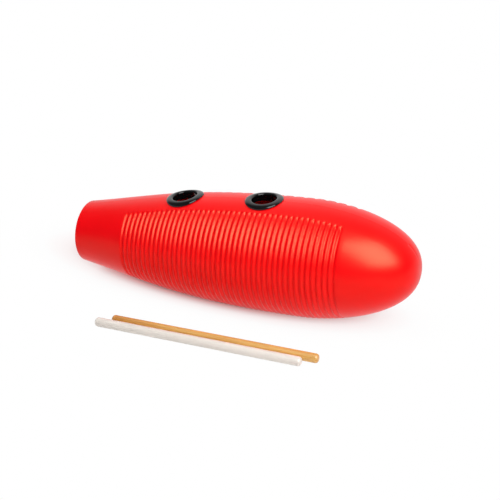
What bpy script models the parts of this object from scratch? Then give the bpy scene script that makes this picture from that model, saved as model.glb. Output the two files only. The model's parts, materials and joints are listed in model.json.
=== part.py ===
# Plastic torpedo guiro: a hollow body of two half shells with rubber-lined
# thumb and finger holes, and two loose scrapers lying in front of it.
# Metres. In the body's own frame X runs from the open mouth to the dome,
# Z is up through the holes and -Y is the finely ribbed front.

import math

import bmesh
import bpy
from mathutils import Matrix, Vector

# Body outline
body_length = 0.335
mouth_radius = 0.0307
mouth_flare = math.radians(9.9)
neck_reach = 0.0732
belly_radius = 0.05705
belly_reach = 0.1213
dome_length = 0.1063
dome_power_along = 1.82
dome_power_across = 2.32
oval_ratio = 0.953
wall = 0.003

# Ribs, cut into the outer face of each half; both fields share their first and last groove
first_groove = 0.0567
last_groove_to_tip = 0.0648
fine_pitch = 0.00508
fine_groove_width = 0.0034
fine_groove_depth = 0.0016
fine_seam_band = 0.0205
fine_run_out = 0.003
coarse_pitch = 0.01016
coarse_groove_width = 0.0056
coarse_groove_depth = 0.002
coarse_seam_band = 0.0168
coarse_run_out = 0.003

# Seam between the halves: a lip on the front half in a rebate of the back half
lip_thickness = 0.0012
lip_reach = 0.0025
lip_recess = 0.0002
lip_start = 0.004

# Holes and their grommets
thumb_station = 0.1076
hole_spacing = 0.0817
hole_diameter = 0.027
grommet_bore = 0.0221
grommet_diameter = 0.0345
grommet_crown = 0.0022
crown_from_bore = 0.002
crown_flattening = 0.4
crown_shoulder = 3.2
inner_flange_diameter = 0.0316
inner_flange_depth = 0.0022
hole_cut_length = 0.024

# Scrapers
scraper_length = 0.2003
wooden_diameter = 0.0086
plastic_diameter = 0.0086
scraper_end_round = 0.0028
wooden_start_along = 0.0714
wooden_start_ahead = 0.0909
wooden_heading = math.radians(1.25)
plastic_start_along = 0.0593
plastic_start_ahead = 0.1009
plastic_heading = math.radians(1.0)

# How the body lies
nose_up = math.radians(3.07)
lean_to_front = math.radians(2.0)

# Gaps between pieces that touch
fit_gap = 0.0003
inner_flange_gap = 0.0006

# Fineness of the meshes
band_columns = 2
run_out_columns = 1
face_columns = 10
plain_rows = 7
dome_rows = 11
inner_neck_rows = 10
inner_dome_rows = 9
grommet_segments = 36
quarter_points = 3
scraper_segments = 20
end_round_points = 3
steepest_band_sine = 0.6
steepest_run_out_sine = 0.75
slope_step = 0.0005
merge_distance = 0.00001

belly_station = body_length - dome_length
last_groove = body_length - last_groove_to_tip


def clear_scene():
    for item in list(bpy.data.objects):
        bpy.data.objects.remove(item, do_unlink=True)


def make_material(name, colour, roughness):
    material = bpy.data.materials.new(name)
    material.use_nodes = True
    shader = material.node_tree.nodes["Principled BSDF"]
    shader.inputs["Base Color"].default_value = (*colour, 1.0)
    shader.inputs["Roughness"].default_value = roughness
    shader.inputs["Metallic"].default_value = 0.0
    material.diffuse_color = (*colour, 1.0)
    return material


def add_object(name, bm, material, parent=None):
    bmesh.ops.recalc_face_normals(bm, faces=bm.faces[:])
    mesh = bpy.data.meshes.new(name)
    bm.to_mesh(mesh)
    bm.free()
    mesh.materials.append(material)
    mesh.shade_smooth()
    mesh.set_sharp_from_angle(angle=math.radians(30))
    item = bpy.data.objects.new(name, mesh)
    bpy.context.scene.collection.objects.link(item)
    item.parent = parent
    return item


def add_empty(name, parent=None):
    item = bpy.data.objects.new(name, None)
    bpy.context.scene.collection.objects.link(item)
    item.parent = parent
    return item


def as_cutter(item):
    item.hide_render = True
    item.display_type = "WIRE"
    return item


def add_boolean(item, cutter, operation):
    modifier = item.modifiers.new(cutter.name, "BOOLEAN")
    modifier.operation = operation
    modifier.solver = "EXACT"
    modifier.object = cutter


# Outline of the body: a flaring neck that swells to the belly, then a dome

def neck_point(share):
    """A point (station, radius) on the curve from the mouth to the belly."""
    start = Vector((0.0, mouth_radius))
    flare = Vector((math.cos(mouth_flare), math.sin(mouth_flare)))
    belly = Vector((belly_station, belly_radius))
    first_handle = start + neck_reach * flare
    last_handle = belly - Vector((belly_reach, 0.0))
    rest = 1.0 - share
    return (
        rest**3 * start
        + 3 * rest**2 * share * first_handle
        + 3 * rest * share**2 * last_handle
        + share**3 * belly
    )


def dome_point(angle):
    """A point on the dome; angle runs from 0 at the belly to a quarter turn at the tip."""
    along = math.sin(angle) ** (2 / dome_power_along)
    across = max(math.cos(angle), 0.0) ** (2 / dome_power_across)
    return Vector((belly_station + dome_length * along, belly_radius * across))


def outer_radius(station):
    """Half the body's width at a station along its axis."""
    if station >= belly_station:
        along = min((station - belly_station) / dome_length, 1.0)
        angle = math.asin(along ** (dome_power_along / 2))
        return dome_point(angle).y
    low, high = 0.0, 1.0
    for _ in range(40):
        middle = (low + high) / 2
        if neck_point(middle).x < station:
            low = middle
        else:
            high = middle
    return neck_point((low + high) / 2).y


def offset_outline(depth):
    """The outline moved inward by depth, from the mouth plane to the axis."""
    outline = [neck_point(i / inner_neck_rows) for i in range(inner_neck_rows)]
    quarter = math.pi / 2
    # Rows crowd towards the tip, where the dome bends most
    for i in range(inner_dome_rows + 1):
        outline.append(dome_point(quarter * math.sin(quarter * i / inner_dome_rows)))
    moved = []
    last = len(outline) - 1
    for i, point in enumerate(outline):
        along = outline[min(i + 1, last)] - outline[max(i - 1, 0)]
        inward = Vector((along.y, -along.x)).normalized()
        if i == last:
            inward = Vector((-1.0, 0.0))
        moved.append(point + depth * inward)
    moved[0].x = 0.0
    moved[-1].y = 0.0
    return moved


inner_outline = offset_outline(wall)


def inner_radius(station):
    """Half the cavity's width at a station along the axis."""
    for near, far in zip(inner_outline, inner_outline[1:]):
        if near.x <= station <= far.x:
            share = (station - near.x) / (far.x - near.x)
            return near.y + share * (far.y - near.y)
    return 0.0


def on_section(station, radius, angle):
    """A point of the oval section; angle is 0 at the top and grows round the side."""
    height = oval_ratio * radius * math.cos(angle)
    return Vector((station, radius * math.sin(angle), height))


# Ribs

def groove_rows(pitch, width, depth):
    """Stations and depths of the rows across a run of V grooves, with the plain ends."""
    spaces = int((last_groove - first_groove) / pitch + 0.5)
    first_edge = first_groove - width / 2
    rows = [(first_edge * i / plain_rows, 0.0) for i in range(plain_rows)]
    for i in range(spaces + 1):
        centre = first_groove + i * (last_groove - first_groove) / spaces
        rows.append((centre - width / 2, 0.0))
        rows.append((centre, depth))
        rows.append((centre + width / 2, 0.0))
    last_edge = rows[-1][0]
    quarter = math.pi / 2
    share = (last_edge - belly_station) / dome_length
    first = math.asin(max(share, 0.0) ** (dome_power_along / 2))
    for i in range(1, dome_rows):
        angle = first + (quarter - first) * math.sin(quarter * i / dome_rows)
        rows.append((dome_point(angle).x, 0.0))
    return rows


def column_angles(radius, seam_band, run_out):
    """Angles of the mesh columns from the top seam to the bottom seam.

    Near each seam the columns keep a fixed distance from the parting plane,
    so that the grooves end along a straight band.
    """
    edge = math.asin(min(seam_band / radius, steepest_band_sine))
    full = math.asin(min((seam_band + run_out) / radius, steepest_run_out_sine))
    angles = [edge * i / band_columns for i in range(band_columns)]
    angles += [edge + (full - edge) * i / run_out_columns for i in range(run_out_columns)]
    middle = math.pi - 2 * full
    angles += [full + middle * i / face_columns for i in range(face_columns + 1)]
    angles += [math.pi - angle for angle in reversed(angles[:band_columns + run_out_columns])]
    return angles


def is_full_depth(column):
    first = band_columns + run_out_columns
    return first <= column <= first + face_columns


def add_sheet(bm, rows):
    """Faces between rows of vertices; a row of one vertex is a pole."""
    for near, far in zip(rows, rows[1:]):
        for i in range(len(near) - 1):
            if len(far) == 1:
                bm.faces.new((near[i], near[i + 1], far[0]))
            else:
                bm.faces.new((near[i], near[i + 1], far[i + 1], far[i]))


def shell_half(side, pitch, width, depth, seam_band, run_out):
    """One half of the body; side is -1 for the front and 1 for the back."""
    bm = bmesh.new()
    outer_rows = []
    for station, cut in groove_rows(pitch, width, depth):
        radius = outer_radius(station)
        row = []
        for column, angle in enumerate(column_angles(radius, seam_band, run_out)):
            reach = radius - (cut if is_full_depth(column) else 0.0)
            row.append(bm.verts.new(on_section(station, reach, side * angle)))
        outer_rows.append(row)
    outer_rows.append([bm.verts.new((body_length, 0.0, 0.0))])
    inner_rows = []
    for point in inner_outline[:-1]:
        row = []
        for angle in column_angles(point.y, seam_band, run_out):
            row.append(bm.verts.new(on_section(point.x, point.y, side * angle)))
        inner_rows.append(row)
    inner_rows.append([bm.verts.new((inner_outline[-1].x, 0.0, 0.0))])
    add_sheet(bm, outer_rows)
    add_sheet(bm, inner_rows)
    # The flat rim of the mouth
    add_sheet(bm, [outer_rows[0], inner_rows[0]])
    # The two flat faces of the seam, above and below the axis
    for end in (0, -1):
        outer_edge = [row[end] for row in outer_rows]
        inner_edge = [row[end] for row in inner_rows]
        bm.faces.new(outer_edge + inner_edge[::-1])
    return bm


def seam_band_solid(outer_depth, inner_depth, y_from, y_to, start):
    """A flat hoop that follows the seam, between two depths below the outer face."""
    bm = bmesh.new()
    hoops = []
    for depth in (outer_depth, inner_depth):
        outline = offset_outline(depth)
        while outline[1].x < start:
            outline.pop(0)
        near, far = outline[0], outline[1]
        share = (start - near.x) / (far.x - near.x)
        outline[0] = near + share * (far - near)
        upper = [on_section(point.x, point.y, 0.0) for point in outline]
        lower = [on_section(point.x, point.y, math.pi) for point in outline[-2::-1]]
        hoops.append([bm.verts.new((p.x, y_from, p.z)) for p in upper + lower])
    add_sheet(bm, hoops)
    grown = bmesh.ops.extrude_face_region(bm, geom=bm.faces[:])
    moved = [item for item in grown["geom"] if isinstance(item, bmesh.types.BMVert)]
    bmesh.ops.translate(bm, verts=moved, vec=(0.0, y_to - y_from, 0.0))
    return bm


# Holes and grommets, turned half a facet so that none of their corners lies on the seam

half_facet_turn = Matrix.Rotation(math.pi / grommet_segments, 4, "Z")


def hole_frame(station):
    """The matrix of a hole: origin on the outer face, Z along its normal."""
    rise = outer_radius(station + slope_step) - outer_radius(station - slope_step)
    slope = oval_ratio * rise / (2 * slope_step)
    along = Vector((1.0, 0.0, slope)).normalized()
    across = Vector((0.0, 1.0, 0.0))
    normal = along.cross(across)
    frame = Matrix((along, across, normal)).transposed().to_4x4()
    frame.translation = on_section(station, outer_radius(station), 0.0)
    return frame


def seat_height(frame, x, y, radius_at):
    """Height over a hole's frame of the body's curved face above (x, y)."""
    height = 0.0
    for _ in range(8):
        point = frame @ Vector((x, y, height))
        radius = radius_at(point.x)
        face = oval_ratio * math.sqrt(radius**2 - point.y**2)
        height += (face - point.z) * frame[2][2]
    return height


def hole_cutter(name, station, parent):
    bm = bmesh.new()
    bmesh.ops.create_cone(
        bm,
        cap_ends=True,
        segments=grommet_segments,
        radius1=hole_diameter / 2,
        radius2=hole_diameter / 2,
        depth=hole_cut_length,
        matrix=hole_frame(station) @ half_facet_turn,
    )
    return as_cutter(add_object(name, bm, rubber, parent))


def quarter_bead(edge_radius, top_radius, base, crown, shoulder):
    """Points of a flange from its edge to its top; a shoulder of 2 is round, more is squarer."""
    points = []
    for i in range(quarter_points + 1):
        angle = math.pi / 2 * i / quarter_points
        reach = (edge_radius - top_radius) * max(math.cos(angle), 0.0) ** (2 / shoulder)
        points.append((top_radius + reach, base + crown * math.sin(angle) ** (2 / shoulder)))
    return points


def make_grommet(name, station, parent):
    """A rubber ring that grips the edge of a hole between two flanges.

    It is turned flat, with heights above 0 for what lies outside the wall and
    below 0 for what lies inside, and is then bent to the body's curved wall,
    its crown less than its seat.
    """
    web = hole_diameter / 2 - fit_gap
    bore = grommet_bore / 2
    top = bore + crown_from_bore
    crown = grommet_crown - 2 * fit_gap
    outside = quarter_bead(grommet_diameter / 2, top, 2 * fit_gap, crown, crown_shoulder)
    outside += quarter_bead(bore, top, 2 * fit_gap, crown, 2)[-2::-1]
    flange = inner_flange_diameter / 2
    middle = (flange + bore) / 2
    inner_base = inner_flange_gap + fit_gap
    inside = quarter_bead(flange, middle, inner_base, inner_flange_depth, 2)
    inside += quarter_bead(bore, middle, inner_base, inner_flange_depth, 2)[-2::-1]
    outline = [(web, fit_gap), (grommet_diameter / 2 - fit_gap, fit_gap)] + outside
    outline += [(radius, -height) for radius, height in reversed(inside)]
    outline += [(flange - fit_gap, -inner_flange_gap), (web, -inner_flange_gap)]
    bm = bmesh.new()
    points = [bm.verts.new(half_facet_turn @ Vector((radius, 0.0, height))) for radius, height in outline]
    ring = [bm.edges.new(pair) for pair in zip(points, points[1:] + points[:1])]
    bmesh.ops.spin(
        bm,
        geom=points + ring,
        cent=(0.0, 0.0, 0.0),
        axis=(0.0, 0.0, 1.0),
        angle=math.tau,
        steps=grommet_segments,
        use_merge=True,
    )
    frame = hole_frame(station)
    for vert in bm.verts:
        x, y, height = vert.co
        face = outer_radius if height > 0 else inner_radius
        bend = 1 - crown_flattening * max(height, 0.0) / grommet_crown
        vert.co = frame @ Vector((x, y, bend * seat_height(frame, x, y, face) + height))
    return add_object(name, bm, rubber, parent)


# Scrapers

def make_scraper(name, diameter, material, parent):
    """A rod along X from its own origin, with rounded ends."""
    radius = diameter / 2
    near_end = [(0.0, 0.0)]
    for i in range(end_round_points + 1):
        angle = math.pi / 2 * i / end_round_points
        x = scraper_end_round * (1 - math.cos(angle))
        height = radius - scraper_end_round * (1 - math.sin(angle))
        near_end.append((x, height))
    far_end = [(scraper_length - x, height) for x, height in reversed(near_end)]
    bm = bmesh.new()
    points = [bm.verts.new((x, 0.0, -height)) for x, height in near_end + far_end]
    edges = [bm.edges.new(pair) for pair in zip(points, points[1:])]
    bmesh.ops.spin(
        bm,
        geom=points + edges,
        cent=(0.0, 0.0, 0.0),
        axis=(1.0, 0.0, 0.0),
        angle=math.tau,
        steps=scraper_segments,
        use_merge=True,
    )
    bmesh.ops.remove_doubles(bm, verts=bm.verts[:], dist=merge_distance)
    return add_object(name, bm, material, parent)


def lay_scraper(item, along, ahead, heading, diameter):
    item.location = (along, -ahead, diameter / 2)
    item.rotation_euler = (0.0, 0.0, heading)


def world_corners(items):
    """Lowest and highest corners of the finished pieces in the world."""
    bpy.context.view_layer.update()
    graph = bpy.context.evaluated_depsgraph_get()
    points = []
    for item in items:
        shape = item.evaluated_get(graph)
        points += [shape.matrix_world @ vert.co for vert in shape.data.vertices]
    low = Vector(min(point[i] for point in points) for i in range(3))
    high = Vector(max(point[i] for point in points) for i in range(3))
    return low, high


clear_scene()
front_plastic = make_material("red_abs_front", (0.83, 0.012, 0.01), 0.38)
back_plastic = make_material("red_abs_back", (0.83, 0.012, 0.01), 0.38)
rubber = make_material("black_rubber", (0.012, 0.012, 0.013), 0.3)
lacquered_wood = make_material("lacquered_wood", (0.78, 0.42, 0.13), 0.35)
white_nylon = make_material("white_nylon", (0.82, 0.77, 0.71), 0.4)

layout = add_empty("layout")
body = add_empty("body_pose", layout)
body.rotation_euler = (Matrix.Rotation(-nose_up, 3, "Y") @ Matrix.Rotation(lean_to_front, 3, "X")).to_euler()

front_shell = add_object(
    "front_shell",
    shell_half(-1, fine_pitch, fine_groove_width, fine_groove_depth, fine_seam_band, fine_run_out),
    front_plastic,
    body,
)
back_shell = add_object(
    "back_shell",
    shell_half(1, coarse_pitch, coarse_groove_width, coarse_groove_depth, coarse_seam_band, coarse_run_out),
    back_plastic,
    body,
)

lip_top = lip_recess + lip_thickness
lip_root = -lip_reach / 2
seam_lip = as_cutter(add_object(
    "seam_lip",
    seam_band_solid(wall - lip_top, wall - lip_recess, lip_root, lip_reach, lip_start),
    front_plastic,
    body,
))
seam_rebate = as_cutter(add_object(
    "seam_rebate",
    seam_band_solid(
        wall - lip_top - fit_gap,
        wall + lip_thickness,
        lip_root,
        lip_reach + fit_gap,
        lip_start - fit_gap,
    ),
    back_plastic,
    body,
))
# The lip goes on before the holes are bored, so that they cut it too
add_boolean(front_shell, seam_lip, "UNION")

finger_station = thumb_station + hole_spacing
for hole_name, station in (("thumb", thumb_station), ("finger", finger_station)):
    cutter = hole_cutter(hole_name + "_hole", station, body)
    add_boolean(front_shell, cutter, "DIFFERENCE")
    add_boolean(back_shell, cutter, "DIFFERENCE")
    make_grommet(hole_name + "_grommet", station, body)
add_boolean(back_shell, seam_rebate, "DIFFERENCE")

wooden_scraper = make_scraper("wooden_scraper", wooden_diameter, lacquered_wood, layout)
lay_scraper(wooden_scraper, wooden_start_along, wooden_start_ahead, wooden_heading, wooden_diameter)
plastic_scraper = make_scraper("plastic_scraper", plastic_diameter, white_nylon, layout)
lay_scraper(plastic_scraper, plastic_start_along, plastic_start_ahead, plastic_heading, plastic_diameter)

# The body is set down on the floor, and the whole set is centred over the origin
shells = (front_shell, back_shell)
body.location.z = -world_corners(shells)[0].z
low, high = world_corners(shells + (wooden_scraper, plastic_scraper))
layout.location = (-(low.x + high.x) / 2, -(low.y + high.y) / 2, -low.z)
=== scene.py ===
# The looks of a plastic torpedo guiro: satin red shells with rounded ribs,
# rubber-lined finger holes, a lacquered dowel and a white nylon rod.
# All lengths are in metres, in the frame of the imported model.

import json
import math

import bmesh
import bpy
from bpy.props import FloatProperty, IntProperty, PointerProperty
from bpy.types import Operator, Panel, PropertyGroup
from mathutils import Matrix, Vector


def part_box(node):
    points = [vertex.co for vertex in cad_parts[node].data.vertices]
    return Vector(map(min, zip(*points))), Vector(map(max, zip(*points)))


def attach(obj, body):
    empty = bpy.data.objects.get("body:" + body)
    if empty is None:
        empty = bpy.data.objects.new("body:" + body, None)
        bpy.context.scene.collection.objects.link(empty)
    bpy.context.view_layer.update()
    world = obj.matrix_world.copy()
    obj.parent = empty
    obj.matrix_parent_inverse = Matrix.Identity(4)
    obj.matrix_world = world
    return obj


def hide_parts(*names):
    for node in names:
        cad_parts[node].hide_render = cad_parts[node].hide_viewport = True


bl_info = {
    "name": "Torpedo Guiro",
    "version": (1, 0, 0),
    "blender": (4, 5, 0),
    "location": "3D View > Sidebar > Guiro",
    "description": "Builds the shells, grommets and scrapers of a plastic guiro",
    "category": "Object",
}

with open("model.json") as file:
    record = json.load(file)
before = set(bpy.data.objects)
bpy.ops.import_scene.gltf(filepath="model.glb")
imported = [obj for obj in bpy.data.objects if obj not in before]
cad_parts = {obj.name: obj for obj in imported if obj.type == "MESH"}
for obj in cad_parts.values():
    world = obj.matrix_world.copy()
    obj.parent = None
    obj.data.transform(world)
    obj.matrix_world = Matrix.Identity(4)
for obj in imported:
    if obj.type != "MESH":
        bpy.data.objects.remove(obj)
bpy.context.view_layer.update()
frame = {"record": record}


# Settings

class GuiroBodySettings(PropertyGroup):
    """Sizes of the hollow body and its two fields of ribs."""

    length: FloatProperty(
        name="Length", description="From the mouth to the tip of the dome",
        default=0.33499, unit="LENGTH",
    )
    mouth_radius: FloatProperty(
        name="Mouth Radius", description="Half the mouth's width, front to back",
        default=0.0307, unit="LENGTH",
    )
    mouth_flare: FloatProperty(
        name="Mouth Flare", description="Slope of the wall at the mouth",
        default=math.radians(9.9), subtype="ANGLE",
    )
    neck_reach: FloatProperty(
        name="Neck Reach", description="How far the mouth's slope carries up the neck",
        default=0.0732, unit="LENGTH",
    )
    belly_radius: FloatProperty(
        name="Belly Radius", description="Half the greatest width", default=0.05703, unit="LENGTH"
    )
    belly_reach: FloatProperty(
        name="Belly Reach", description="How far the belly's width carries towards the neck",
        default=0.1213, unit="LENGTH",
    )
    dome_length: FloatProperty(
        name="Dome Length", description="From the belly to the tip", default=0.1063, unit="LENGTH"
    )
    dome_power_along: FloatProperty(
        name="Dome Power Along", description="Fullness of the dome's end", default=1.82
    )
    dome_power_across: FloatProperty(
        name="Dome Power Across", description="Fullness of the dome's side", default=2.32
    )
    height_over_width: FloatProperty(
        name="Height over Width", description="Shape of the oval section", default=0.953
    )
    wall: FloatProperty(name="Wall", description="Thickness of the shells", default=0.003, unit="LENGTH")
    rim_round: FloatProperty(
        name="Rim Round", description="Rounding of the mouth's edges", default=0.0004, unit="LENGTH"
    )
    first_groove: FloatProperty(
        name="First Groove", description="From the mouth to the middle of the first groove",
        default=0.0567, unit="LENGTH",
    )
    last_groove_to_tip: FloatProperty(
        name="Last Groove to Tip", description="From the middle of the last groove to the tip",
        default=0.0648, unit="LENGTH",
    )
    parting_line: FloatProperty(
        name="Parting Line", description="Width of the chamfer on each half's seam edge",
        default=0.00003, unit="LENGTH",
    )


class GuiroRibSettings(PropertyGroup):
    """Shape of one field of grooves."""

    pitch: FloatProperty(name="Pitch", description="From groove to groove", default=0.00508, unit="LENGTH")
    depth: FloatProperty(name="Depth", description="Depth of a groove", default=0.0015, unit="LENGTH")
    width: FloatProperty(
        name="Width", description="Width of a groove with its rounded shoulders",
        default=0.00508, unit="LENGTH",
    )
    shoulder: FloatProperty(
        name="Shoulder", description="1 for round crests, more for flat ones", default=1.0
    )
    seam_band: FloatProperty(
        name="Seam Band", description="Half the smooth band along each seam", default=0.0205, unit="LENGTH"
    )
    run_out: FloatProperty(
        name="Run-out", description="How far a groove takes to reach its depth", default=0.0025, unit="LENGTH"
    )
    samples: IntProperty(name="Samples", description="Mesh rows from groove to groove", default=14, min=4)


class GuiroCoarseRibSettings(GuiroRibSettings):
    """Shape of the coarse field on the back."""

    pitch: FloatProperty(name="Pitch", description="From groove to groove", default=0.01016, unit="LENGTH")
    depth: FloatProperty(name="Depth", description="Depth of a groove", default=0.0022, unit="LENGTH")
    width: FloatProperty(
        name="Width", description="Width of a groove with its rounded shoulders",
        default=0.0072, unit="LENGTH",
    )
    seam_band: FloatProperty(
        name="Seam Band", description="Half the smooth band along each seam", default=0.0168, unit="LENGTH"
    )
    run_out: FloatProperty(
        name="Run-out", description="How far a groove takes to reach its depth", default=0.003, unit="LENGTH"
    )
    samples: IntProperty(name="Samples", description="Mesh rows from groove to groove", default=28, min=4)


class GuiroGrommetSettings(PropertyGroup):
    """Sizes of the rubber rings."""

    thumb_station: FloatProperty(
        name="Thumb Hole", description="Distance from the mouth", default=0.10805, unit="LENGTH"
    )
    spacing: FloatProperty(name="Spacing", description="From hole to hole", default=0.0807, unit="LENGTH")
    turn: FloatProperty(
        name="Turn", description="Turn of the holes about the body, towards the front",
        default=math.radians(1.05), subtype="ANGLE",
    )
    hole_diameter: FloatProperty(name="Hole", description="Hole in the shells", default=0.0276, unit="LENGTH")
    bore: FloatProperty(name="Bore", description="Opening of the ring", default=0.0231, unit="LENGTH")
    diameter: FloatProperty(name="Diameter", description="Outside of the ring", default=0.0358, unit="LENGTH")
    crown: FloatProperty(name="Crown", description="Height over the shell", default=0.0021, unit="LENGTH")
    crown_from_bore: FloatProperty(
        name="Crown from Bore", description="From the bore to the highest line", default=0.0018, unit="LENGTH"
    )
    flattening: FloatProperty(
        name="Flattening", description="How much flatter the crown bends", default=0.5
    )
    shoulder: FloatProperty(
        name="Shoulder", description="2 for a round outer shoulder, more for a squarer one", default=2.0
    )
    inner_diameter: FloatProperty(
        name="Inner Flange", description="Outside of the flange within the body",
        default=0.0322, unit="LENGTH",
    )
    inner_depth: FloatProperty(
        name="Inner Depth", description="Depth inside the wall", default=0.0028, unit="LENGTH"
    )
    gap: FloatProperty(name="Gap", description="Gap to the shells", default=0.00015, unit="LENGTH")


class GuiroScraperSettings(PropertyGroup):
    """Sizes of the two rods."""

    length: FloatProperty(name="Length", description="Length of each rod", default=0.2003, unit="LENGTH")
    diameter: FloatProperty(
        name="Diameter", description="Thickness of each rod", default=0.0086, unit="LENGTH"
    )
    end_round: FloatProperty(
        name="End Round", description="Rounding of the ends", default=0.0028, unit="LENGTH"
    )
    wooden_heading: FloatProperty(
        name="Wooden Heading", description="Turn of the wooden rod",
        default=math.radians(1.25), subtype="ANGLE",
    )
    plastic_heading: FloatProperty(
        name="Plastic Heading", description="Turn of the plastic rod",
        default=math.radians(1.0), subtype="ANGLE",
    )


class GuiroStageSettings(PropertyGroup):
    """The camera's lens and the direction of its view."""

    lens: FloatProperty(name="Lens", description="Focal length on a 36 mm sensor, in mm", default=95.2)
    elevation: FloatProperty(
        name="Elevation", description="Height of the view over the floor",
        default=math.radians(25), subtype="ANGLE",
    )
    heading: FloatProperty(
        name="Heading", description="Turn of the view from the body's side", default=math.radians(22.85),
        subtype="ANGLE",
    )


# The body's outline, in its own frame: X from the mouth to the dome, Z up

nose_up = math.radians(3.07)
lean_to_front = math.radians(2.0)
body_turn = Matrix.Rotation(-nose_up, 3, "Y") @ Matrix.Rotation(lean_to_front, 3, "X")


def neck_point(body, share):
    """A point (station, radius) of the curve from the mouth to the belly."""
    start = Vector((0.0, body.mouth_radius))
    flare = Vector((math.cos(body.mouth_flare), math.sin(body.mouth_flare)))
    belly = Vector((body.length - body.dome_length, body.belly_radius))
    first_handle = start + body.neck_reach * flare
    last_handle = belly - Vector((body.belly_reach, 0.0))
    rest = 1.0 - share
    near = rest**3 * start + 3 * rest**2 * share * first_handle
    return near + 3 * rest * share**2 * last_handle + share**3 * belly


def dome_point(body, angle):
    """A point of the dome, from the belly at 0 to the tip at a quarter turn."""
    along = math.sin(angle) ** (2 / body.dome_power_along)
    across = max(math.cos(angle), 0.0) ** (2 / body.dome_power_across)
    belly_station = body.length - body.dome_length
    return Vector((belly_station + body.dome_length * along, body.belly_radius * across))


def outer_radius(body, station):
    """Half the body's width at a station along its axis."""
    belly_station = body.length - body.dome_length
    if station >= belly_station:
        along = min((station - belly_station) / body.dome_length, 1.0)
        return dome_point(body, math.asin(along ** (body.dome_power_along / 2))).y
    low, high = 0.0, 1.0
    for _ in range(36):
        middle = (low + high) / 2
        if neck_point(body, middle).x < station:
            low = middle
        else:
            high = middle
    return neck_point(body, (low + high) / 2).y


def inner_outline(body, neck_rows=40, dome_rows=30):
    """The outline moved in by the wall, from the mouth plane to the axis."""
    points = [neck_point(body, i / neck_rows) for i in range(neck_rows)]
    quarter = math.pi / 2
    points += [dome_point(body, quarter * math.sin(quarter * i / dome_rows)) for i in range(dome_rows + 1)]
    moved = []
    last = len(points) - 1
    for i, point in enumerate(points):
        along = points[min(i + 1, last)] - points[max(i - 1, 0)]
        inward = Vector((along.y, -along.x)).normalized()
        if i == last:
            inward = Vector((-1.0, 0.0))
        moved.append(point + body.wall * inward)
    moved[0].x = 0.0
    moved[-1].y = 0.0
    return moved


def radius_of(outline, station):
    """The radius at a station of an outline of points."""
    for near, far in zip(outline, outline[1:]):
        if near.x <= station <= far.x:
            return near.y + (station - near.x) / (far.x - near.x) * (far.y - near.y)
    return 0.0


def body_place(body):
    """The matrix from the body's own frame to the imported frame, from the rim mount."""
    rim = frame["record"]["mounts"][0]
    middle_of_rim = (body.mouth_radius + inner_outline(body)[0].y) / 2
    mouth = Vector(rim["pos_m"]) + body_turn @ Vector((0.0, middle_of_rim, 0.0))
    place = body_turn.to_4x4()
    place.translation = mouth
    return place


# Materials

def from_hex(colour, alpha=1.0):
    """A linear colour from an sRGB hex value."""
    channels = [int(colour[i:i + 2], 16) / 255 for i in (1, 3, 5)]
    linear = [c / 12.92 if c <= 0.04045 else ((c + 0.055) / 1.055) ** 2.4 for c in channels]
    return (*linear, alpha)


def add_node(tree, kind, settings=None, inputs=None, links=None):
    """A node with its settings, its input values and the links that feed it."""
    node = tree.nodes.new(kind)
    for key, value in (settings or {}).items():
        setattr(node, key, value)
    for key, value in (inputs or {}).items():
        node.inputs[key].default_value = value
    for key, source in (links or {}).items():
        tree.links.new(source, node.inputs[key])
    return node


def add_ramp(tree, value, stops):
    """A colour ramp with its stops, as (position, linear colour)."""
    ramp = add_node(tree, "ShaderNodeValToRGB", links={"Fac": value})
    while len(ramp.color_ramp.elements) < len(stops):
        ramp.color_ramp.elements.new(0.5)
    for element, (position, colour) in zip(ramp.color_ramp.elements, stops):
        element.position = position
        element.color = colour
    return ramp


def new_material(name):
    """An empty material and its tree, with the shader wired to the output."""
    material = bpy.data.materials.new(name)
    material.use_nodes = True
    tree = material.node_tree
    tree.nodes.clear()
    shader = add_node(tree, "ShaderNodeBsdfPrincipled")
    add_node(tree, "ShaderNodeOutputMaterial", links={"Surface": shader.outputs["BSDF"]})
    return material, tree, shader


def moulded_abs():
    """Injection-moulded red ABS: a satin skin with the mould's fine spark texture."""
    material, tree, shader = new_material("moulded_red_abs")
    grain_size = 0.0007
    place = add_node(tree, "ShaderNodeTexCoord").outputs["Object"]
    grain = add_node(
        tree, "ShaderNodeTexNoise",
        inputs={"Scale": 1 / grain_size, "Detail": 2.0, "Roughness": 0.6}, links={"Vector": place},
    )
    flow_size = 0.06
    flow = add_node(
        tree, "ShaderNodeTexNoise",
        inputs={"Scale": 1 / flow_size, "Detail": 3.0, "Roughness": 0.5}, links={"Vector": place},
    )
    tint = add_ramp(tree, flow.outputs["Fac"], [(0.3, from_hex("#F6000E")), (0.7, from_hex("#FB0011"))])
    tint.color_ramp.interpolation = "EASE"
    sheen = add_node(
        tree, "ShaderNodeMapRange", settings={"interpolation_type": "SMOOTHERSTEP"},
        inputs={"From Min": 0.2, "From Max": 0.8, "To Min": 0.30, "To Max": 0.34},
        links={"Value": flow.outputs["Fac"]},
    )
    bump = add_node(
        tree, "ShaderNodeBump", inputs={"Strength": 0.12, "Distance": 0.00002},
        links={"Height": grain.outputs["Fac"]},
    )
    shader.inputs["IOR"].default_value = 1.53
    shader.inputs["Specular IOR Level"].default_value = 0.2
    shader.inputs["Specular Tint"].default_value = from_hex("#FFF8BA")
    tree.links.new(tint.outputs["Color"], shader.inputs["Base Color"])
    tree.links.new(sheen.outputs["Result"], shader.inputs["Roughness"])
    tree.links.new(bump.outputs["Normal"], shader.inputs["Normal"])
    return material


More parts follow.
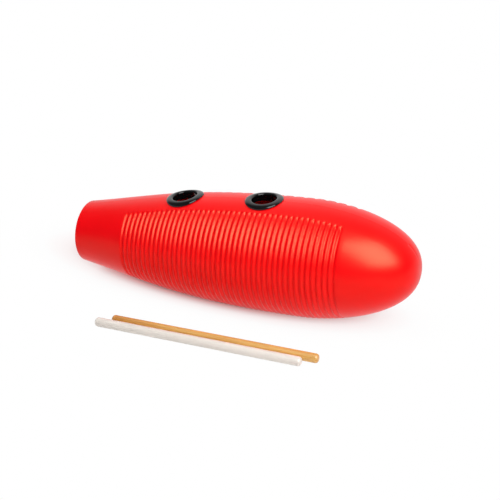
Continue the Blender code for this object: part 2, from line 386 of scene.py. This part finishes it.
def moulded_rubber():
    """Moulded black rubber: near black with a soft shine and a faint bloom."""
    material, tree, shader = new_material("moulded_black_rubber")
    bloom_size = 0.004
    place = add_node(tree, "ShaderNodeTexCoord").outputs["Object"]
    bloom = add_node(
        tree, "ShaderNodeTexNoise",
        inputs={"Scale": 1 / bloom_size, "Detail": 4.0, "Roughness": 0.6}, links={"Vector": place},
    )
    tint = add_ramp(tree, bloom.outputs["Fac"], [(0.35, from_hex("#070708")), (0.75, from_hex("#0E0E0F"))])
    sheen = add_node(
        tree, "ShaderNodeMapRange", inputs={"To Min": 0.05, "To Max": 0.08},
        links={"Value": bloom.outputs["Fac"]},
    )
    shader.inputs["IOR"].default_value = 1.52
    shader.inputs["Specular IOR Level"].default_value = 0.5
    tree.links.new(tint.outputs["Color"], shader.inputs["Base Color"])
    tree.links.new(sheen.outputs["Result"], shader.inputs["Roughness"])
    return material


def lacquered_dowel(heading, dark_end):
    """Clear-lacquered ramin dowel: straight amber grain, darker at one end, under a thin gloss coat."""
    material, tree, shader = new_material("lacquered_dowel")
    grain_width = 0.0012
    grain_length = 0.05
    place = add_node(tree, "ShaderNodeTexCoord").outputs["Object"]
    turned = add_node(
        tree, "ShaderNodeMapping", inputs={"Rotation": (0.0, 0.0, -heading)}, links={"Vector": place}
    )
    stretched = add_node(
        tree, "ShaderNodeMapping",
        inputs={"Scale": (1 / grain_length, 1 / grain_width, 1 / grain_width)},
        links={"Vector": turned.outputs["Vector"]},
    )
    grain = add_node(
        tree, "ShaderNodeTexNoise", inputs={"Scale": 1.0, "Detail": 5.0, "Roughness": 0.65},
        links={"Vector": stretched.outputs["Vector"]},
    )
    # The colour is darker towards one end and reaches its even tone within 50 mm
    darker_stretch = 0.05
    darker_shift = -0.34
    along = add_node(tree, "ShaderNodeSeparateXYZ", links={"Vector": place})
    darkening = add_node(
        tree, "ShaderNodeMapRange",
        inputs={
            "From Min": dark_end, "From Max": dark_end + darker_stretch,
            "To Min": darker_shift, "To Max": 0.0,
        },
        links={"Value": along.outputs["X"]},
    )
    shade = add_node(
        tree, "ShaderNodeMath", settings={"operation": "ADD"},
        links={0: grain.outputs["Fac"], 1: darkening.outputs["Result"]},
    )
    tint = add_ramp(
        tree, shade.outputs["Value"],
        [(0.0, from_hex("#BE7A2C")), (0.3, from_hex("#CB8D3D")), (0.68, from_hex("#E8B662"))],
    )
    bump = add_node(
        tree, "ShaderNodeBump", inputs={"Strength": 0.2, "Distance": 0.00003},
        links={"Height": grain.outputs["Fac"]},
    )
    shader.inputs["Roughness"].default_value = 0.42
    shader.inputs["Coat Weight"].default_value = 0.5
    shader.inputs["Coat Roughness"].default_value = 0.18
    tree.links.new(tint.outputs["Color"], shader.inputs["Base Color"])
    tree.links.new(bump.outputs["Normal"], shader.inputs["Normal"])
    return material


def extruded_nylon():
    """Extruded natural nylon: milky white with a waxy skin and faint drawn lines."""
    material, tree, shader = new_material("extruded_nylon")
    line_width = 0.0008
    line_length = 0.08
    place = add_node(tree, "ShaderNodeTexCoord").outputs["Object"]
    stretched = add_node(
        tree, "ShaderNodeMapping",
        inputs={"Scale": (1 / line_length, 1 / line_width, 1 / line_width)}, links={"Vector": place},
    )
    lines = add_node(
        tree, "ShaderNodeTexNoise", inputs={"Scale": 1.0, "Detail": 3.0},
        links={"Vector": stretched.outputs["Vector"]},
    )
    tint = add_ramp(tree, lines.outputs["Fac"], [(0.0, from_hex("#E3DAD1")), (1.0, from_hex("#EFE8DF"))])
    shader.inputs["Roughness"].default_value = 0.38
    tree.links.new(tint.outputs["Color"], shader.inputs["Base Color"])
    return material


# Meshes

crease_angle = math.radians(25)
ring_steps = 96
rod_steps = 64


def finish_piece(name, bm, material, body, nodes, place, cut=None):
    """Makes the piece's object at the origin, with its place in its mesh."""
    bm.transform(place)
    mesh = bpy.data.meshes.new(name)
    bm.to_mesh(mesh)
    bm.free()
    mesh.materials.append(material)
    piece = bpy.data.objects.new(name, mesh)
    bpy.context.scene.collection.objects.link(piece)
    if cut:
        cut(piece)
    piece.data.shade_smooth()
    piece.data.set_sharp_from_angle(angle=crease_angle)
    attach(piece, body)
    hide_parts(*nodes)


def spin_outline(bm, points, axis, angle, steps):
    """A sheet turned from a line of points; a full turn closes on itself."""
    verts = [bm.verts.new(point) for point in points]
    edges = [bm.edges.new(pair) for pair in zip(verts, verts[1:])]
    bmesh.ops.spin(
        bm, geom=verts + edges, cent=(0.0, 0.0, 0.0), axis=axis, angle=angle, steps=steps,
        use_merge=abs(angle) > math.pi * 1.5,
    )


band_columns = 6
run_out_columns = 10
face_columns = 48
half_columns = 2 * (band_columns + run_out_columns) + face_columns
pole_size = 1e-6
# Where the body narrows to the pole, the band and the run-out keep these shares of its radius
most_of_chamfer = 0.5
most_of_band = 0.62
most_of_run_out = 0.78


def column_angle(body, ribs, radius, column):
    """The angle of a mesh column, so that columns follow the smooth band's edge."""
    if column > half_columns / 2:
        return math.pi - column_angle(body, ribs, radius, half_columns - column)
    chamfer_reach = 1.6 * body.parting_line
    chamfer = math.asin(min(chamfer_reach / radius, most_of_chamfer))
    edge = math.asin(min(ribs.seam_band / radius, most_of_band))
    full = math.asin(min((ribs.seam_band + ribs.run_out) / radius, most_of_run_out))
    if column <= 1:
        return chamfer * column
    if column <= band_columns:
        return chamfer + (edge - chamfer) * (column - 1) / (band_columns - 1)
    if column <= band_columns + run_out_columns:
        return edge + (full - edge) * (column - band_columns) / run_out_columns
    share = (column - band_columns - run_out_columns) / face_columns
    return full + (math.pi - 2 * full) * share


def groove_span(body, ribs):
    """Stations of the first and last groove and the number of spaces between."""
    last = body.length - body.last_groove_to_tip
    return body.first_groove, last, round((last - body.first_groove) / ribs.pitch)


def groove_cut(body, ribs, station, chord):
    """How deep the rib field cuts at a station and distance from the parting plane."""
    first, last, spaces = groove_span(body, ribs)
    pitch = (last - first) / spaces
    nearest = min(max(round((station - first) / pitch), 0), spaces)
    from_groove = abs(station - first - nearest * pitch)
    reach = min((chord - ribs.seam_band) / ribs.run_out, 1.0)
    if reach <= 0:
        return 0.0
    # Round crests and valleys, which close to a point as they run out
    half_width = ribs.width / 2 * math.sqrt(reach)
    if from_groove >= half_width:
        return 0.0
    return ribs.depth * reach * (0.5 + 0.5 * math.cos(math.pi * from_groove / half_width)) ** ribs.shoulder


def shell_stations(body, ribs):
    """Stations of the outer outline, close together across the ribs."""
    first, last, spaces = groove_span(body, ribs)
    margin = ribs.width / 2
    neck_rows = 24
    stations = [(first - margin) * i / neck_rows for i in range(1, neck_rows)]
    half_rows = ribs.samples // 2
    stations += [first - margin + margin * i / half_rows for i in range(half_rows)]
    rows = spaces * ribs.samples
    stations += [first + (last - first) * i / rows for i in range(rows + 1)]
    stations += [last + margin * i / half_rows for i in range(1, half_rows + 1)]
    belly_station = body.length - body.dome_length
    start = math.asin(((stations[-1] - belly_station) / body.dome_length) ** (body.dome_power_along / 2))
    dome_rows = 40
    for i in range(1, dome_rows + 1):
        angle = start + (math.pi / 2 - start) * math.sin(math.pi / 2 * i / dome_rows)
        stations.append(dome_point(body, angle).x)
    return stations


def shape_shell(verts, body, side, ribs, outer):
    """Moves a turned sheet's columns, presses the section oval and cuts the grooves."""
    for vert in verts:
        station = vert.co.x
        radius = math.hypot(vert.co.y, vert.co.z)
        if radius < pole_size:
            vert.co = (station, 0.0, 0.0)
            continue
        turned = math.atan2(abs(vert.co.y), vert.co.z)
        column = round(turned / math.pi * half_columns)
        angle = column_angle(body, ribs, radius, column)
        if outer:
            radius -= groove_cut(body, ribs, station, radius * math.sin(angle))
        if column in (0, half_columns):
            chamfer = -body.parting_line if outer else body.parting_line
            radius = max(radius + chamfer, pole_size)
        height = body.height_over_width * radius * math.cos(angle)
        vert.co = (station, side * radius * abs(math.sin(angle)), height)


def add_turned_sheet(bm, body, side, ribs, points, outer):
    """Turns an outline half way round the axis and shapes it; returns its vertices."""
    before = set(bm.verts)
    spin_outline(bm, [(p.x, 0.0, p.y) for p in points], (1.0, 0.0, 0.0), -side * math.pi, half_columns)
    added = [vert for vert in bm.verts if vert not in before]
    bmesh.ops.remove_doubles(bm, verts=added, dist=pole_size)
    added = [vert for vert in bm.verts if vert not in before]
    shape_shell(added, body, side, ribs, outer)
    return set(added)


def half_shell(body, side, ribs):
    """One half shell, with its ribs, its inner skin, its rim and its seam faces."""
    inner = inner_outline(body)
    step = body.rim_round
    corner = step * (1 - math.sqrt(0.5))
    outer_points = [
        Vector((0.0, body.mouth_radius - step)),
        Vector((corner, body.mouth_radius - corner)),
        Vector((step, outer_radius(body, step))),
    ]
    outer_points += [Vector((s, outer_radius(body, s))) for s in shell_stations(body, ribs)]
    outer_points[-1].y = 0.0
    inner_points = [
        Vector((0.0, inner[0].y + step)),
        Vector((corner, inner[0].y + corner)),
        Vector((step, radius_of(inner, step))),
    ] + inner[1:]
    bm = bmesh.new()
    outer_sheet = add_turned_sheet(bm, body, side, ribs, outer_points, True)
    add_turned_sheet(bm, body, side, ribs, inner_points, False)
    rim = [edge for edge in bm.edges if edge.is_boundary and all(v.co.x < pole_size for v in edge.verts)]
    bmesh.ops.bridge_loops(bm, edges=rim)
    seam = {vert for edge in bm.edges if edge.is_boundary for vert in edge.verts}
    for sign in (1, -1):
        line = sorted((v for v in seam if sign * v.co.z >= -pole_size), key=lambda vert: vert.co.x)
        outer_line = [vert for vert in line if vert in outer_sheet]
        inner_line = [vert for vert in line if vert not in outer_sheet]
        bm.faces.new(outer_line + inner_line[::-1])
    bmesh.ops.recalc_face_normals(bm, faces=bm.faces[:])
    return bm


# Holes and rings

def hole_frame(body, station, turn):
    """The matrix of a hole: origin on the outer skin, Z along its normal."""
    step = 0.0005
    rise = outer_radius(body, station + step) - outer_radius(body, station - step)
    slope = body.height_over_width * rise / (2 * step)
    along = Vector((1.0, 0.0, slope)).normalized()
    across = Vector((0.0, 1.0, 0.0))
    matrix = Matrix((along, across, along.cross(across))).transposed().to_4x4()
    matrix.translation = (station, 0.0, body.height_over_width * outer_radius(body, station))
    return Matrix.Rotation(turn, 4, "X") @ matrix


def seat_height(body, matrix, x, y, radius_at):
    """Height over a hole's frame of the shell's curved skin above (x, y)."""
    height = 0.0
    for _ in range(6):
        point = matrix @ Vector((x, y, height))
        skin = body.height_over_width * math.sqrt(max(radius_at(point.x) ** 2 - point.y**2, 0.0))
        height += (skin - point.z) * matrix[2][2]
    return height


def cut_holes(piece, body, grommet, place):
    """Bores both finger holes through a shell and keeps the result as its mesh."""
    cutters = []
    radius = grommet.hole_diameter / 2
    cutter_depth = 0.024
    for station in (grommet.thumb_station, grommet.thumb_station + grommet.spacing):
        bm = bmesh.new()
        bmesh.ops.create_cone(
            bm, cap_ends=True, segments=ring_steps, radius1=radius, radius2=radius, depth=cutter_depth,
            matrix=place @ hole_frame(body, station, grommet.turn),
        )
        mesh = bpy.data.meshes.new("hole")
        bm.to_mesh(mesh)
        bm.free()
        cutter = bpy.data.objects.new("hole", mesh)
        bpy.context.scene.collection.objects.link(cutter)
        modifier = piece.modifiers.new("hole", "BOOLEAN")
        modifier.operation = "DIFFERENCE"
        modifier.object = cutter
        cutters.append(cutter)
    bpy.context.view_layer.update()
    graph = bpy.context.evaluated_depsgraph_get()
    bored = bpy.data.meshes.new_from_object(piece.evaluated_get(graph))
    piece.modifiers.clear()
    piece.data = bored
    for cutter in cutters:
        bpy.data.objects.remove(cutter, do_unlink=True)


def half_bead(radii, shoulder, base, crown, points=24):
    """Points of a rounded flange: radii of its outer edge, its top and the bore."""
    start, top, end = radii
    outline = []
    for i in range(points + 1):
        angle = math.pi * i / points
        outside = 2 * i < points
        power = 2 / shoulder if outside else 1.0
        reach = (start - top) * math.cos(angle) ** power if outside else (top - end) * math.cos(angle)
        outline.append((top + reach, base + crown * math.sin(angle) ** power))
    return outline


def ring(body, grommet, station):
    """A rubber ring between two flanges, turned flat and bent to the shell."""
    gap = grommet.gap
    web = grommet.hole_diameter / 2 - gap
    bore = grommet.bore / 2
    top = bore + grommet.crown_from_bore
    flange = grommet.inner_diameter / 2
    tuck = 0.0004
    rise = grommet.crown - gap - tuck
    drop = grommet.inner_depth - gap - 2 * tuck
    outside = half_bead((grommet.diameter / 2, top, bore), grommet.shoulder, gap + tuck, rise)
    inside = half_bead((flange, (flange + bore) / 2, bore), 2, gap + 2 * tuck, drop)
    outline = [(web, gap), (grommet.diameter / 2 - tuck, gap)] + outside
    outline += [(radius, -height) for radius, height in reversed(inside)]
    outline += [(flange - tuck, -gap - tuck), (web, -gap - tuck)]
    bm = bmesh.new()
    points = [(radius, 0.0, height) for radius, height in outline]
    spin_outline(bm, points + points[:1], (0.0, 0.0, 1.0), math.tau, ring_steps)
    bmesh.ops.remove_doubles(bm, verts=bm.verts[:], dist=pole_size)
    inner = inner_outline(body)
    matrix = hole_frame(body, station, grommet.turn)
    for vert in bm.verts:
        x, y, height = vert.co
        if height > 0:
            skin = seat_height(body, matrix, x, y, lambda s: outer_radius(body, s))
            skin *= 1 - grommet.flattening * height / grommet.crown
        else:
            skin = seat_height(body, matrix, x, y, lambda s: radius_of(inner, s))
        vert.co = matrix @ Vector((x, y, skin + height))
    bmesh.ops.recalc_face_normals(bm, faces=bm.faces[:])
    return bm


def rod(scraper):
    """A rod along X with rounded ends and flat end faces."""
    radius = scraper.diameter / 2
    flat_share = 0.6
    end_steps = 10
    near_end = [(0.0, 0.0), (0.0, (radius - scraper.end_round) * flat_share)]
    for i in range(end_steps + 1):
        angle = math.pi / 2 * i / end_steps
        x = scraper.end_round * (1 - math.cos(angle))
        near_end.append((x, radius - scraper.end_round * (1 - math.sin(angle))))
    far_end = [(scraper.length - x, height) for x, height in reversed(near_end)]
    bm = bmesh.new()
    outline = [(x, 0.0, height) for x, height in near_end + far_end]
    spin_outline(bm, outline, (1.0, 0.0, 0.0), math.tau, rod_steps)
    bmesh.ops.remove_doubles(bm, verts=bm.verts[:], dist=pole_size)
    bmesh.ops.recalc_face_normals(bm, faces=bm.faces[:])
    return bm


# Operators

class GUIRO_OT_shells(Operator):
    """Models the two ribbed half shells"""

    bl_idname = "guiro.shells"
    bl_label = "Add Shells"

    def execute(self, context):
        body = context.scene.guiro_body
        grommet = context.scene.guiro_grommets
        place = body_place(body)
        plastic = moulded_abs()
        fine = context.scene.guiro_fine_ribs
        coarse = context.scene.guiro_coarse_ribs
        for name, side, ribs in (("front", -1, fine), ("back", 1, coarse)):
            finish_piece(
                "ribbed_" + name + "_shell", half_shell(body, side, ribs), plastic, "guiro",
                [name + "_shell"], place, cut=lambda piece: cut_holes(piece, body, grommet, place),
            )
        return {"FINISHED"}


class GUIRO_OT_grommets(Operator):
    """Models the rubber rings of the thumb and finger holes"""

    bl_idname = "guiro.grommets"
    bl_label = "Add Grommets"

    def execute(self, context):
        body = context.scene.guiro_body
        grommet = context.scene.guiro_grommets
        rubber = moulded_rubber()
        finger_station = grommet.thumb_station + grommet.spacing
        for name, station in (("thumb", grommet.thumb_station), ("finger", finger_station)):
            finish_piece(
                name + "_ring", ring(body, grommet, station), rubber, "guiro",
                [name + "_grommet"], body_place(body),
            )
        return {"FINISHED"}


class GUIRO_OT_scrapers(Operator):
    """Models the wooden and the nylon scraper"""

    bl_idname = "guiro.scrapers"
    bl_label = "Add Scrapers"

    def execute(self, context):
        scraper = context.scene.guiro_scrapers
        wood = lacquered_dowel(scraper.wooden_heading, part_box("wooden_scraper")[0][0])
        nylon = extruded_nylon()
        for name, heading, material, slot in (
            ("wooden_scraper", scraper.wooden_heading, wood, "lacquered_wood"),
            ("plastic_scraper", scraper.plastic_heading, nylon, "white_nylon"),
        ):
            low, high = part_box(name)
            middle = (Vector(low) + Vector(high)) / 2
            turn = Matrix.Rotation(heading, 4, "Z")
            centred = Matrix.Translation((-scraper.length / 2, 0.0, 0.0))
            place = Matrix.Translation((middle.x, middle.y, scraper.diameter / 2)) @ turn @ centred
            finish_piece(name.replace("scraper", "rod"), rod(scraper), material, name, [name], place)
        return {"FINISHED"}


class GUIRO_OT_stage(Operator):
    """Sets up the floor, the lights and the camera"""

    bl_idname = "guiro.stage"
    bl_label = "Add Stage"

    def execute(self, context):
        stage = context.scene.guiro_stage
        add_floor()
        add_world()
        key_place = (0.624, -0.39, 0.867)
        key_size = (0.75, 0.95)
        add_softbox("key_softbox", key_place, key_size, 10.3)
        add_softbox("key_shine", key_place, key_size, 24.2, fill=False)
        add_softbox("overhead_softbox", (-0.42, -0.05, 1.1), (1.0, 1.0), 6.3, shine=False)
        add_camera(stage)
        context.scene.view_settings.view_transform = "Standard"
        return {"FINISHED"}


def add_floor():
    """A white sweep that stays white away from the object's soft shadow."""
    material = bpy.data.materials.new("white_paper_floor")
    material.use_nodes = True
    tree = material.node_tree
    tree.nodes.clear()
    paper = add_node(tree, "ShaderNodeBsdfDiffuse", inputs={"Color": from_hex("#F6F6F6")})
    white = add_node(tree, "ShaderNodeEmission", inputs={"Strength": 1.0})
    rays = add_node(tree, "ShaderNodeLightPath")
    straight = add_node(
        tree, "ShaderNodeMath", settings={"operation": "MAXIMUM"},
        links={0: rays.outputs["Is Camera Ray"], 1: rays.outputs["Is Glossy Ray"]},
    )
    seen = add_node(
        tree, "ShaderNodeMath", settings={"operation": "MAXIMUM"},
        links={0: straight.outputs["Value"], 1: rays.outputs["Is Transmission Ray"]},
    )
    # The paper turns plain white away from the object's shadow, which lies in an ellipse
    shadow_centre = (-0.0451, 0.058, 0.0)
    shadow_turn = math.radians(-6)
    shadow_reach = (0.1607, 0.0555, 1.0)
    farthest = 3.0
    place = add_node(tree, "ShaderNodeTexCoord").outputs["Object"]
    from_shadow = add_node(
        tree, "ShaderNodeMapping", settings={"vector_type": "TEXTURE"},
        inputs={"Location": shadow_centre, "Rotation": (0.0, 0.0, shadow_turn), "Scale": shadow_reach},
        links={"Vector": place},
    )
    distance = add_node(
        tree, "ShaderNodeVectorMath", settings={"operation": "LENGTH"},
        links={0: from_shadow.outputs["Vector"]},
    )
    reach = add_node(
        tree, "ShaderNodeMath", settings={"operation": "DIVIDE"}, inputs={1: farthest},
        links={0: distance.outputs["Value"]},
    )
    white_shares = [
        (0.26, 0.0), (0.3, 0.536), (0.333, 0.712), (0.36, 0.872),
        (0.39, 0.94), (0.427, 0.96), (0.5, 0.993), (0.6, 1.0),
    ]
    lift = add_ramp(tree, reach.outputs["Value"], [(at, (s, s, s, 1.0)) for at, s in white_shares])
    # Close to the body the white emission is tinted pink, a painted red bounce from the shells
    painted_red_bounce = add_ramp(
        tree, reach.outputs["Value"],
        [
            (0.3, from_hex("#FFC8C8")), (0.333, from_hex("#FFEDED")),
            (0.36, from_hex("#FFF7F7")), (0.427, from_hex("#FFFFFF")),
        ],
    )
    tree.links.new(painted_red_bounce.outputs["Color"], white.inputs["Color"])
    share = add_node(
        tree, "ShaderNodeMath", settings={"operation": "MULTIPLY"},
        links={0: seen.outputs["Value"], 1: lift.outputs["Color"]},
    )
    both = add_node(
        tree, "ShaderNodeMixShader",
        links={"Fac": share.outputs["Value"], 1: paper.outputs["BSDF"], 2: white.outputs["Emission"]},
    )
    add_node(tree, "ShaderNodeOutputMaterial", links={"Surface": both.outputs["Shader"]})
    bm = bmesh.new()
    floor_reach = 8.0
    bmesh.ops.create_grid(bm, x_segments=1, y_segments=1, size=floor_reach)
    mesh = bpy.data.meshes.new("floor")
    bm.to_mesh(mesh)
    bm.free()
    mesh.materials.append(material)
    floor = bpy.data.objects.new("floor", mesh)
    bpy.context.scene.collection.objects.link(floor)


def add_world():
    """A dim room, with a white sweep behind the object that only its shine sees."""
    world = bpy.data.worlds.new("studio")
    world.use_nodes = True
    tree = world.node_tree
    tree.nodes.clear()
    direction = add_node(tree, "ShaderNodeTexCoord").outputs["Generated"]
    parts = add_node(tree, "ShaderNodeSeparateXYZ", links={"Vector": direction})
    behind = add_node(
        tree, "ShaderNodeMapRange", settings={"interpolation_type": "SMOOTHSTEP"},
        inputs={"From Min": 0.12, "From Max": 0.7}, links={"Value": parts.outputs["Y"]},
    )
    rays = add_node(tree, "ShaderNodeLightPath")
    shine = add_node(
        tree, "ShaderNodeMath", settings={"operation": "MAXIMUM"},
        links={0: rays.outputs["Is Glossy Ray"], 1: rays.outputs["Is Transmission Ray"]},
    )
    sweep = add_node(
        tree, "ShaderNodeMath", settings={"operation": "MULTIPLY"},
        links={0: shine.outputs["Value"], 1: behind.outputs["Result"]},
    )
    white = add_node(
        tree, "ShaderNodeMath", settings={"operation": "MAXIMUM"},
        links={0: rays.outputs["Is Camera Ray"], 1: sweep.outputs["Value"]},
    )
    strength = add_node(
        tree, "ShaderNodeMapRange", inputs={"To Min": 0.15, "To Max": 1.0},
        links={"Value": white.outputs["Value"]},
    )
    air = add_node(
        tree, "ShaderNodeBackground", inputs={"Color": from_hex("#FFFFFF")},
        links={"Strength": strength.outputs["Result"]},
    )
    add_node(tree, "ShaderNodeOutputWorld", links={"Surface": air.outputs["Background"]})
    bpy.context.scene.world = world


def add_softbox(name, place, size, power, fill=True, shine=True):
    """A rectangular area light aimed at the body, for its fill, its shine or both."""
    target = Vector((0.0, 0.0, 0.05))
    light = bpy.data.lights.new(name, "AREA")
    light.shape = "RECTANGLE"
    light.size, light.size_y = size
    light.energy = power
    item = bpy.data.objects.new(name, light)
    item.location = place
    item.rotation_euler = (target - Vector(place)).to_track_quat("-Z", "Y").to_euler()
    item.visible_diffuse = fill
    item.visible_glossy = shine
    bpy.context.scene.collection.objects.link(item)


def add_camera(stage):
    """The photograph's viewpoint, measured from the centre of the mouth."""
    from_mouth = Vector((0.6058, -1.0337, 0.5324))
    mouth = body_place(bpy.context.scene.guiro_body).translation
    camera = bpy.data.cameras.new("camera")
    camera.lens = stage.lens
    item = bpy.data.objects.new("camera", camera)
    item.location = mouth + from_mouth
    item.rotation_euler = (math.pi / 2 - stage.elevation, 0.0, stage.heading)
    bpy.context.scene.collection.objects.link(item)
    bpy.context.scene.camera = item


class GUIRO_PT_sidebar(Panel):
    """Lists the guiro's settings and operators"""

    bl_label = "Guiro"
    bl_idname = "GUIRO_PT_sidebar"
    bl_space_type = "VIEW_3D"
    bl_region_type = "UI"
    bl_category = "Guiro"

    def draw(self, context):
        for operator in operators:
            self.layout.operator(operator.bl_idname)
        for name in settings:
            group = getattr(context.scene, name)
            box = self.layout.box()
            for key in group.bl_rna.properties.keys():
                if key not in ("rna_type", "name"):
                    box.prop(group, key)


settings = {
    "guiro_body": GuiroBodySettings,
    "guiro_fine_ribs": GuiroRibSettings,
    "guiro_coarse_ribs": GuiroCoarseRibSettings,
    "guiro_grommets": GuiroGrommetSettings,
    "guiro_scrapers": GuiroScraperSettings,
    "guiro_stage": GuiroStageSettings,
}
operators = (GUIRO_OT_shells, GUIRO_OT_grommets, GUIRO_OT_scrapers, GUIRO_OT_stage)


def register():
    for kind in (*settings.values(), *operators, GUIRO_PT_sidebar):
        bpy.utils.register_class(kind)
    for name, kind in settings.items():
        setattr(bpy.types.Scene, name, PointerProperty(type=kind))


def unregister():
    for name in settings:
        delattr(bpy.types.Scene, name)
    for kind in reversed((*settings.values(), *operators, GUIRO_PT_sidebar)):
        bpy.utils.unregister_class(kind)


def main():
    """Registers the add-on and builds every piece."""
    register()
    bpy.ops.guiro.shells()
    bpy.ops.guiro.grommets()
    bpy.ops.guiro.scrapers()
    bpy.ops.guiro.stage()


if __name__ == "__main__":
    main()
